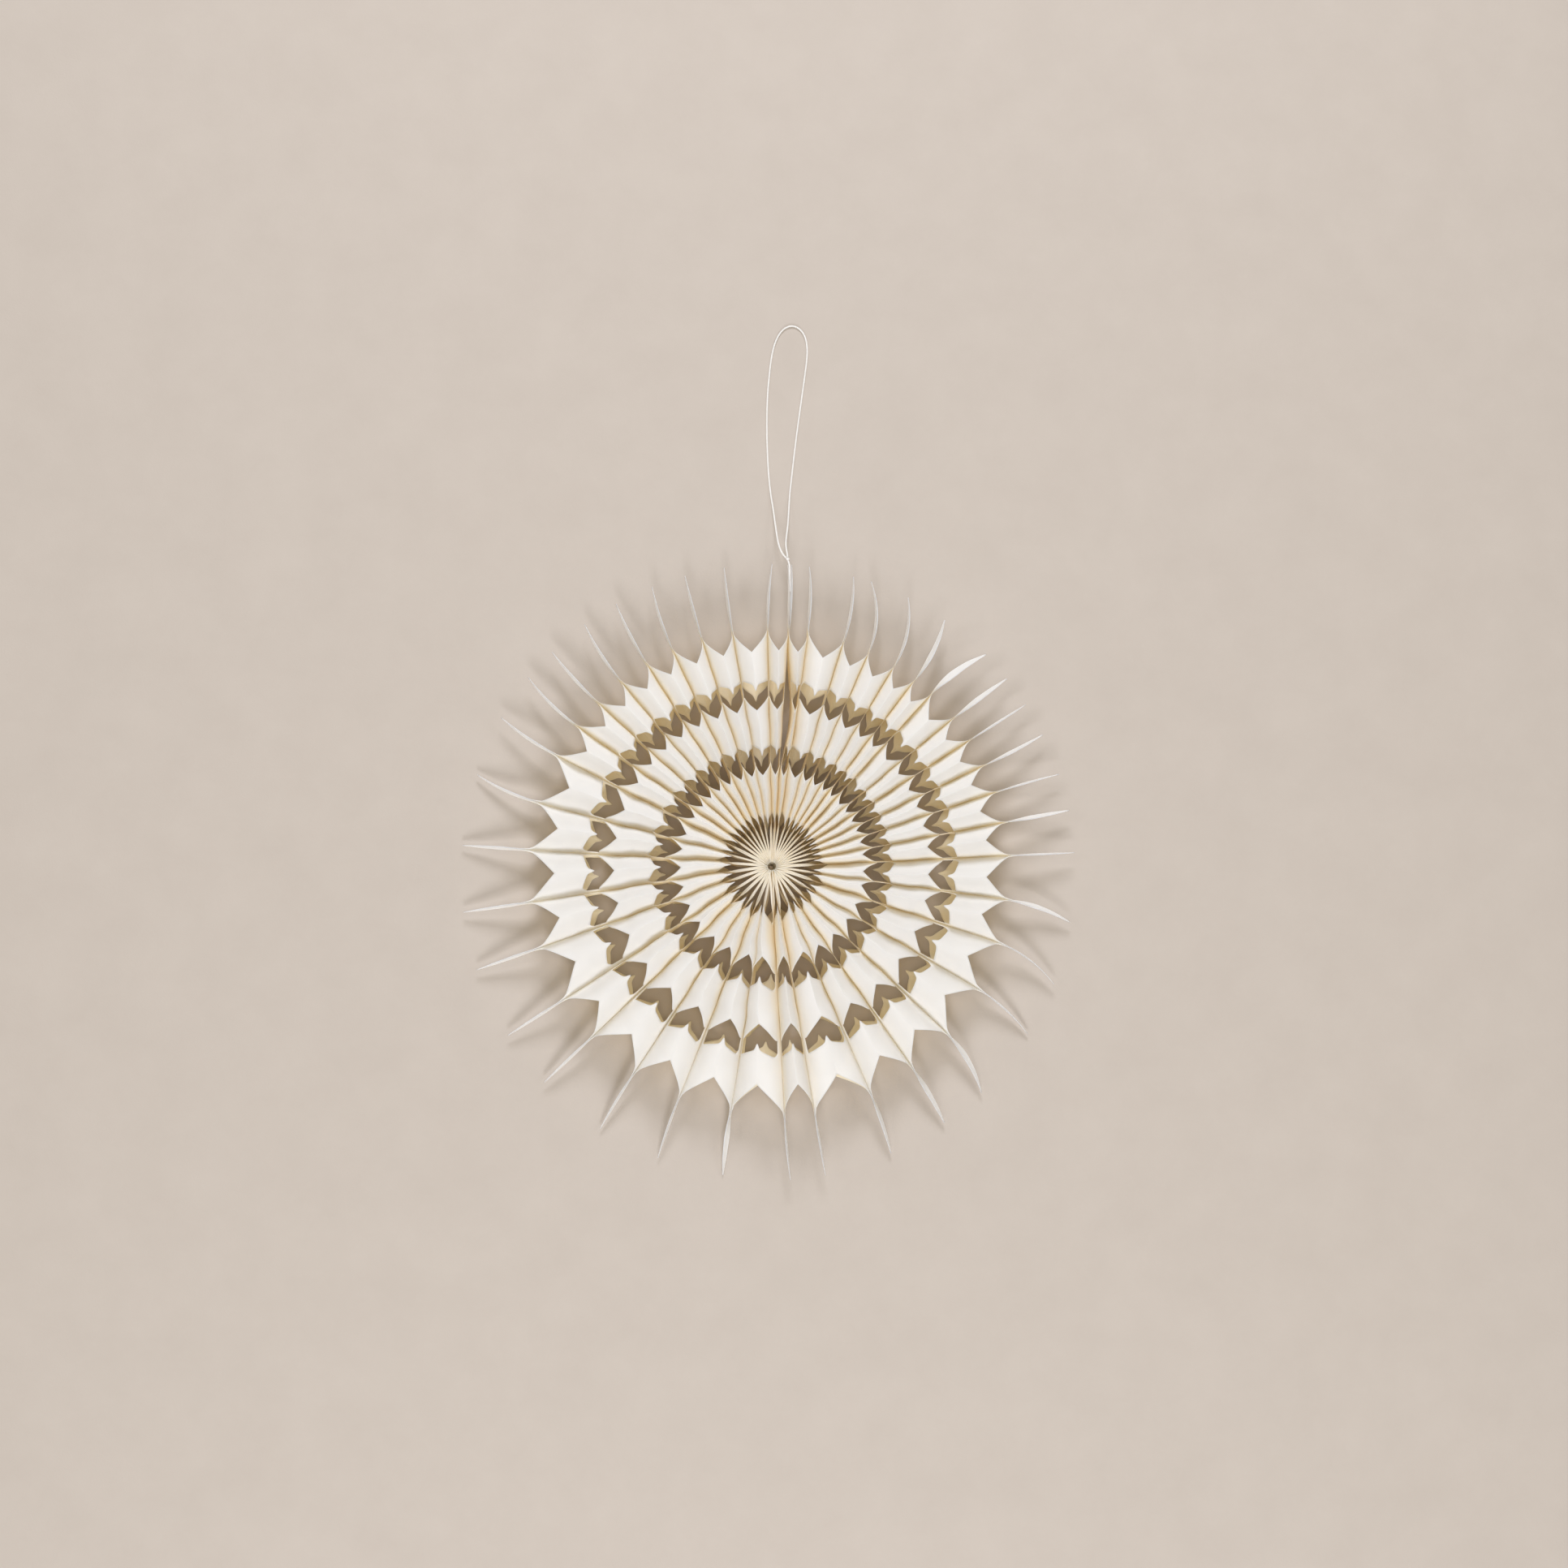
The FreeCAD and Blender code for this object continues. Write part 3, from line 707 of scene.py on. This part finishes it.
STRING_DIAMETER = 1.2
STRANDS = 3
STRAND_RADIUS = STRING_DIAMETER / 4
STRAND_PITCH = 3.2           # length of string in which a strand goes round once
STRAND_CORNERS = 8
STRING_STEP = 0.4            # distance between two points along a string, about
KNOT_PLACE = (-3.9, 203.4, 11.0)
KNOT_SCALE = 0.26            # millimetres to one unit of the knot's curve
KNOT_FULLNESS = 1.2          # how far the string stands apart where it crosses itself, in those units
KNOT_STRING_RADIUS = 0.42
KNOT_POINTS = 60
KNOT_CORNERS = 10
LOOP_ROUTE = (
    (-4.9, 204.2, 10.8), (-7.0, 206.2, 10.0), (-9.3, 210.0, 8.8), (-11.0, 214.8, 7.4),
    (-12.2, 220.5, 5.8), (-13.8, 228.0, 4.0), (-15.6, 237.0, 2.3), (-18.1, 247.5, 1.0),
    (-20.3, 259.0, 0.65), (-22.4, 274.5, 0.65), (-24.3, 293.0, 0.65), (-25.4, 312.0, 0.65),
    (-25.3, 328.0, 0.65), (-24.7, 341.0, 0.65), (-22.9, 350.8, 0.65), (-19.2, 358.3, 0.65),
    (-13.4, 361.9, 0.65), (-7.6, 360.2, 0.65), (-3.5, 355.2, 0.65), (-1.6, 348.0, 0.65),
    (-1.2, 339.5, 0.65), (-1.8, 328.0, 0.65), (-2.6, 314.0, 0.65), (-3.6, 297.5, 0.65),
    (-4.5, 279.0, 0.65), (-5.1, 261.5, 0.65), (-5.5, 249.0, 1.0), (-5.4, 238.5, 2.3),
    (-5.2, 229.0, 4.0), (-5.6, 221.0, 5.8), (-5.9, 215.0, 7.4), (-5.2, 210.2, 8.8),
    (-4.2, 206.4, 10.0), (-4.0, 204.6, 10.6),
)
TAIL_ROUTE = (
    (-0.9, 181.6, 14.2), (-1.35, 187.8, 13.3), (-1.85, 194.5, 12.3), (-2.3, 199.8, 11.6),
    (-3.5, 202.2, 11.2),
)


def spline_points(route, spacing):
    """Evenly spaced points, in metres, on the smooth curve that the route's points pull along."""
    curve = bpy.data.curves.new("route", "CURVE")
    curve.dimensions = "3D"
    curve.resolution_u = 24
    spline = curve.splines.new("NURBS")
    spline.points.add(len(route) - 1)
    for point, place in zip(spline.points, route):
        point.co = (*(c * MM for c in place), 1.0)
    spline.order_u = 3
    spline.use_endpoint_u = True
    holder = bpy.data.objects.new("route", curve)
    mesh = bpy.data.meshes.new_from_object(holder)
    points = np.array([vertex.co for vertex in mesh.vertices], float)
    bpy.data.objects.remove(holder)
    bpy.data.curves.remove(curve)
    bpy.data.meshes.remove(mesh)
    steps = np.linalg.norm(np.diff(points, axis=0), axis=1)
    travelled = np.concatenate([[0.0], np.cumsum(steps)])
    count = int(travelled[-1] / (spacing * MM))
    wanted = np.linspace(0.0, travelled[-1], count)
    return np.column_stack([np.interp(wanted, travelled, points[:, i]) for i in range(3)])


def side_directions(points):
    """Two steady directions square to a line at each of its points."""
    tangents = np.gradient(points, axis=0)
    tangents /= np.linalg.norm(tangents, axis=1)[:, None]
    side = np.cross(tangents[0], (0.0, 0.0, 1.0))
    sides = []
    for tangent in tangents:
        side = unit(side - tangent * np.dot(side, tangent))
        sides.append(side)
    sides = np.array(sides)
    return sides, np.cross(tangents, sides)


def tube_mesh(lines, radius, corners):
    """Vertices and faces of round closed tubes along the given lines."""
    vertices, faces = [], []
    turn = np.linspace(0, 2 * math.pi, corners, endpoint=False)
    for line in lines:
        base = len(vertices)
        side, up = side_directions(line)
        rings = (line[:, None] + radius * (np.cos(turn)[None, :, None] * side[:, None]
                                           + np.sin(turn)[None, :, None] * up[:, None]))
        vertices += rings.reshape(-1, 3).tolist()
        for ring in range(len(line) - 1):
            low, high = base + ring * corners, base + (ring + 1) * corners
            for i in range(corners):
                j = (i + 1) % corners
                faces.append([low + i, low + j, high + j, high + i])
        faces.append([base + i for i in reversed(range(corners))])
        last = base + (len(line) - 1) * corners
        faces.append([last + i for i in range(corners)])
    return vertices, faces


def twisted_string(name, route, material):
    """String of strands laid round each other; returns the piece and its middle line."""
    points = spline_points(route, STRING_STEP)
    side, up = side_directions(points)
    travelled = np.arange(len(points)) * STRING_STEP
    lines = []
    for strand in range(STRANDS):
        turn = 2 * math.pi * (travelled / STRAND_PITCH + strand / STRANDS)
        offset = np.cos(turn)[:, None] * side + np.sin(turn)[:, None] * up
        lines.append(points + STRAND_RADIUS * MM * offset)
    vertices, faces = tube_mesh(lines, STRAND_RADIUS * MM, STRAND_CORNERS)
    return add_object(name, smooth_mesh(name + "_mesh", vertices, faces), material), points


def make_knot(material):
    """Small overhand knot: one turn of string round itself."""
    t = np.linspace(0, 2 * math.pi, KNOT_POINTS, endpoint=False)
    x = np.sin(t) + 2 * np.sin(2 * t)
    y = np.cos(t) - 2 * np.cos(2 * t)
    z = -np.sin(3 * t) * KNOT_FULLNESS
    line = np.column_stack([x, y, z]) * KNOT_SCALE * MM + np.array(KNOT_PLACE) * MM
    line = np.vstack([line, line[:1]])
    vertices, faces = tube_mesh([line], KNOT_STRING_RADIUS * MM, KNOT_CORNERS)
    return add_object("tied_knot", smooth_mesh("tied_knot_mesh", vertices, faces), material)


cotton = cotton_material()
knot = make_knot(cotton)
loop, loop_line = twisted_string("string_loop", LOOP_ROUTE, cotton)
tail, _ = twisted_string("string_tail", TAIL_ROUTE, cotton)
for piece, node in ((knot, "loop_knot"), (loop, "hanging_loop"), (tail, "loop_tail")):
    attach(piece, "root")
    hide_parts(node)


# ---------------------------------------------------------------- floor, lights and camera

FLOOR_HALF_SIZE = 3.0        # metres
LAMP_DISTANCE = 2.3          # metres
LAMP_SIZE = 0.7              # metres
SOFTBOXES = (                # name, bearing clockwise from the top of the view, elevation, watts, colour
    ("left_softbox", -80.0, 42.0, 4.0, (0.97, 1.01, 1.14)),
    ("right_softbox", 80.0, 42.0, 4.0, (0.97, 1.01, 1.14)),
    ("upper_softbox", 0.0, 36.0, 27.0, (0.96, 1.01, 1.15)),
    ("lower_softbox", 180.0, 36.0, 26.0, (0.97, 1.01, 1.13)),
    ("front_softbox", -160.0, 82.0, 7.5, (0.98, 1.01, 1.10)),
)
SKY_COLOUR = (1.0, 0.925, 0.77)
SKY_STRENGTH = 0.41
LIGHT_BOUNCES = 20           # light goes deep into the paper cells only after many bounces


def make_floor():
    """Wide flat surface that the star lies on."""
    size = FLOOR_HALF_SIZE
    mesh = bpy.data.meshes.new("floor_mesh")
    mesh.from_pydata([(-size, -size, 0), (size, -size, 0), (size, size, 0), (-size, size, 0)], [],
                     [(0, 1, 2, 3)])
    floor = add_object("floor", mesh, floor_material())


def add_softbox(name, bearing, elevation, power, colour):
    """Square area light that faces the star."""
    bearing, elevation = math.radians(bearing - VIEW_TURN), math.radians(elevation)
    level = math.cos(elevation)
    place = Vector((math.sin(bearing) * level, math.cos(bearing) * level, math.sin(elevation)))
    data = bpy.data.lights.new(name, "AREA")
    data.size = LAMP_SIZE
    data.energy = power
    data.color = colour
    lamp = bpy.data.objects.new(name, data)
    bpy.context.scene.collection.objects.link(lamp)
    lamp.location = place * LAMP_DISTANCE
    lamp.rotation_euler = (-place).to_track_quat("-Z", "Y").to_euler()


def set_world():
    """Even light from all round."""
    world = bpy.data.worlds.new("studio")
    bpy.context.scene.world = world
    world.use_nodes = True
    background = world.node_tree.nodes["Background"]
    background.inputs["Color"].default_value = (*SKY_COLOUR, 1.0)
    background.inputs["Strength"].default_value = SKY_STRENGTH


def set_camera():
    """Camera above the star, a little below and left of its middle, looking straight at AIM."""
    left, below = math.tan(math.radians(CAMERA_TILT_X)), math.tan(math.radians(CAMERA_TILT_Y))
    backward = Vector((-left, -below, 1.0)).normalized()
    right = Vector((0, 1, 0)).cross(backward).normalized()
    up = backward.cross(right)
    turn = Matrix.Rotation(math.radians(VIEW_TURN), 3, "Z")
    axes = [turn @ axis for axis in (right, up, backward)]
    place = (Vector(AIM) + axes[2] * CAMERA_DISTANCE) * MM
    data = bpy.data.cameras.new("camera")
    data.sensor_width = SENSOR
    data.lens = LENS
    data.clip_end = FAR_CLIP
    camera = bpy.data.objects.new("camera", data)
    bpy.context.scene.collection.objects.link(camera)
    camera.matrix_world = Matrix.Translation(place) @ Matrix(axes).transposed().to_4x4()
    bpy.context.scene.camera = camera


make_floor()
for softbox in SOFTBOXES:
    add_softbox(*softbox)
set_world()
set_camera()
bpy.context.scene.view_settings.view_transform = "Standard"
bpy.context.scene.cycles.max_bounces = LIGHT_BOUNCES
bpy.context.scene.cycles.diffuse_bounces = LIGHT_BOUNCES

bpy.context.view_layer.update()
